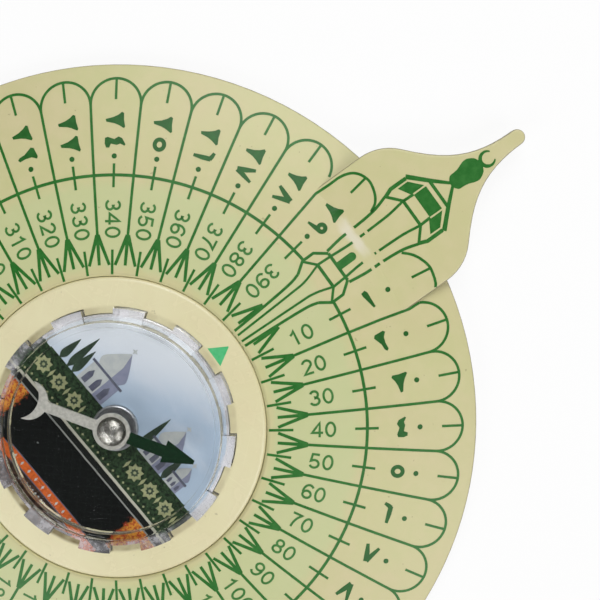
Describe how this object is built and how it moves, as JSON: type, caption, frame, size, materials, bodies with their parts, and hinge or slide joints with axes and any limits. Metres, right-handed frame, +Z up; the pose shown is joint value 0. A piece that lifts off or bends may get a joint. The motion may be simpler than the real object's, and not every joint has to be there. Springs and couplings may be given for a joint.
{
  "type": "qibla compass",
  "caption": "Qibla compass: a domed dial disc with a flat onion-dome pointer, a turning index ring that holds a clear capsule, and a free needle over a picture card.",
  "frame": {"origin": "on the compass axis, on the back cover's underside, where it rests on a table", "axes": "+Z up along the compass axis, +Y along the pointer, +X to its right seen from above"},
  "size_m": [0.089, 0.1057, 0.0103],
  "materials": {
    "dial_plastic": "cream moulded plastic, satin gloss",
    "cover_plastic": "cream moulded plastic, fine matt",
    "screw_steel": "zinc-plated steel",
    "ring_plastic": "pale cream moulded plastic, smooth gloss",
    "clip_steel": "spring steel",
    "capsule_plastic": "pale cream moulded plastic",
    "clear_plastic": "clear moulded plastic, polished",
    "printed_card": "coated card with a coloured print",
    "eyelet_metal": "bright turned metal",
    "pin_steel": "hardened steel",
    "needle_steel": "stamped steel, silver, with a dark green north arm",
    "cap_metal": "polished plated metal",
    "jewel_glass": "polished glass cup"
  },
  "bodies": {
    "case": {"dial_plate": "dial_plastic", "back_cover": "cover_plastic", "cover_screws": "screw_steel"},
    "ring": {"index_ring": "ring_plastic", "retaining_ring": "clip_steel", "capsule_base": "capsule_plastic", "capsule_lens": "clear_plastic", "dial_card": "printed_card", "pivot_eyelet": "eyelet_metal", "pivot_pin": "pin_steel"},
    "needle": {"needle_blade": "needle_steel", "needle_cap": "cap_metal", "bearing_jewel": "jewel_glass"}
  },
  "joints": [
    {"name": "ring_turn", "type": "hinge", "parent": "case", "child": "ring", "pos_m": [0, 0, 0.005], "axis": [0, 0, 1], "continuous": true},
    {"name": "needle_swing", "type": "hinge", "parent": "ring", "child": "needle", "pos_m": [0, 0, 0.0086], "axis": [0, 0, 1], "continuous": true}
  ]
}
